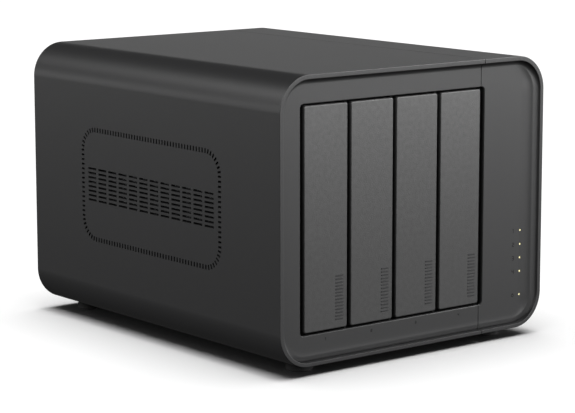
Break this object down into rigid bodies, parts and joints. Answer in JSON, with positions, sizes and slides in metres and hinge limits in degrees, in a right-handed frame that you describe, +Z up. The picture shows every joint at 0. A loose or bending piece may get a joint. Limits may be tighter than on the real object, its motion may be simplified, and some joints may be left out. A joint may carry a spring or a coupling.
{
  "type": "nas enclosure",
  "caption": "Desktop network storage enclosure with a row of upright slide-out drive trays, round-edged shell, side vents, rear fan and rear connectors.",
  "frame": {"origin": "on the floor, under the middle of the enclosure's width and depth", "axes": "+X to the right seen from the front, +Y to the back, +Z up; the trays slide out along -Y"},
  "size_m": [0.179, 0.222, 0.151],
  "materials": {
    "case_plastic": "fine textured",
    "face_plastic": "grained",
    "inner_plastic": "plain",
    "foot_rubber": "plain",
    "panel_metal": "powder coat",
    "cage_steel": "zinc plated",
    "screw_steel": "black zinc",
    "plug_metal": "nickel plated",
    "circuit_board": "solder mask",
    "chip_plastic": "moulded",
    "header_plastic": "natural",
    "light_guide": "clear",
    "sink_aluminium": "anodised",
    "standoff_brass": "turned",
    "winding_copper": "enamelled",
    "fan_plastic": "moulded",
    "lead_jacket": "smooth"
  },
  "bodies": {
    "enclosure": {"left_shell": "case_plastic", "right_shell": "case_plastic", "rear_panel": "panel_metal", "fan_grille": "cage_steel", "rubber_feet": "foot_rubber", "cage_left_wall": "cage_steel", "cage_right_wall": "cage_steel", "cage_top_plate": "cage_steel", "cage_bottom_plate": "cage_steel", "upper_bay_guide": "inner_plastic", "lower_bay_guide": "inner_plastic", "backplane_board": "circuit_board", "sata_connectors": "inner_plastic", "main_board": "circuit_board", "link_socket": "inner_plastic", "processor": "chip_plastic", "heat_sink": "sink_aluminium", "memory_socket": "inner_plastic", "memory_module": "circuit_board", "coin_cell": "plug_metal", "board_components": "chip_plastic", "board_headers": "header_plastic", "led_board": "circuit_board", "status_leds": "light_guide", "led_pipes": "light_guide", "led_ribbon": "header_plastic", "network_jacks": "plug_metal", "usb_ports": "plug_metal", "usb_c_port": "plug_metal", "hdmi_port": "plug_metal", "power_jack": "inner_plastic", "power_switch": "inner_plastic", "fan_frame": "fan_plastic", "fan_stator": "winding_copper", "fan_cable": "lead_jacket", "fan_screws": "screw_steel", "case_screws": "screw_steel", "cage_screws": "screw_steel", "board_standoffs": "standoff_brass", "board_screws": "screw_steel"},
    "carrier_1": {"tray_1": "inner_plastic", "tray_face_1": "face_plastic"},
    "latch_1": {"tray_latch_1": "inner_plastic"},
    "lock_1": {"lock_strip_1": "face_plastic"},
    "carrier_2": {"tray_2": "inner_plastic", "tray_face_2": "face_plastic"},
    "latch_2": {"tray_latch_2": "inner_plastic"},
    "lock_2": {"lock_strip_2": "face_plastic"},
    "carrier_3": {"tray_3": "inner_plastic", "tray_face_3": "face_plastic"},
    "latch_3": {"tray_latch_3": "inner_plastic"},
    "lock_3": {"lock_strip_3": "face_plastic"},
    "carrier_4": {"tray_4": "inner_plastic", "tray_face_4": "face_plastic"},
    "latch_4": {"tray_latch_4": "inner_plastic"},
    "lock_4": {"lock_strip_4": "face_plastic"},
    "fan_wheel": {"fan_rotor": "fan_plastic"},
    "button": {"power_button": "inner_plastic"}
  },
  "joints": [
    {"name": "tray_1_slide", "type": "slide", "parent": "enclosure", "child": "carrier_1", "axis": [0, -1, 0], "range_m": [0, 0.16]},
    {"name": "tray_2_slide", "type": "slide", "parent": "enclosure", "child": "carrier_2", "axis": [0, -1, 0], "range_m": [0, 0.16]},
    {"name": "tray_3_slide", "type": "slide", "parent": "enclosure", "child": "carrier_3", "axis": [0, -1, 0], "range_m": [0, 0.16]},
    {"name": "tray_4_slide", "type": "slide", "parent": "enclosure", "child": "carrier_4", "axis": [0, -1, 0], "range_m": [0, 0.16]},
    {"name": "latch_1_press", "type": "hinge", "parent": "carrier_1", "child": "latch_1", "pos_m": [-0.0694, -0.0981, 0.042], "axis": [0, 0, 1], "range_deg": [0, 8], "stiffness_Nm_per_rad": 0.05, "springref_deg": -5.73},
    {"name": "lock_1_lift", "type": "slide", "parent": "carrier_1", "child": "lock_1", "axis": [0, 0, 1], "range_m": [0, 0.0024]},
    {"name": "latch_2_press", "type": "hinge", "parent": "carrier_2", "child": "latch_2", "pos_m": [-0.0393, -0.0981, 0.042], "axis": [0, 0, 1], "range_deg": [0, 8], "stiffness_Nm_per_rad": 0.05, "springref_deg": -5.73},
    {"name": "lock_2_lift", "type": "slide", "parent": "carrier_2", "child": "lock_2", "axis": [0, 0, 1], "range_m": [0, 0.0024]},
    {"name": "latch_3_press", "type": "hinge", "parent": "carrier_3", "child": "latch_3", "pos_m": [-0.0092, -0.0981, 0.042], "axis": [0, 0, 1], "range_deg": [0, 8], "stiffness_Nm_per_rad": 0.05, "springref_deg": -5.73},
    {"name": "lock_3_lift", "type": "slide", "parent": "carrier_3", "child": "lock_3", "axis": [0, 0, 1], "range_m": [0, 0.0024]},
    {"name": "latch_4_press", "type": "hinge", "parent": "carrier_4", "child": "latch_4", "pos_m": [0.0209, -0.0981, 0.042], "axis": [0, 0, 1], "range_deg": [0, 8], "stiffness_Nm_per_rad": 0.05, "springref_deg": -5.73},
    {"name": "lock_4_lift", "type": "slide", "parent": "carrier_4", "child": "lock_4", "axis": [0, 0, 1], "range_m": [0, 0.0024]},
    {"name": "fan_spin", "type": "hinge", "parent": "enclosure", "child": "fan_wheel", "pos_m": [-0.017, 0.094, 0.078], "axis": [0, 1, 0], "continuous": true},
    {"name": "power_button_press", "type": "slide", "parent": "enclosure", "child": "button", "axis": [0, -1, 0], "range_m": [0, 0.0015], "stiffness_N_per_m": 800, "springref_m": -0.001}
  ]
}
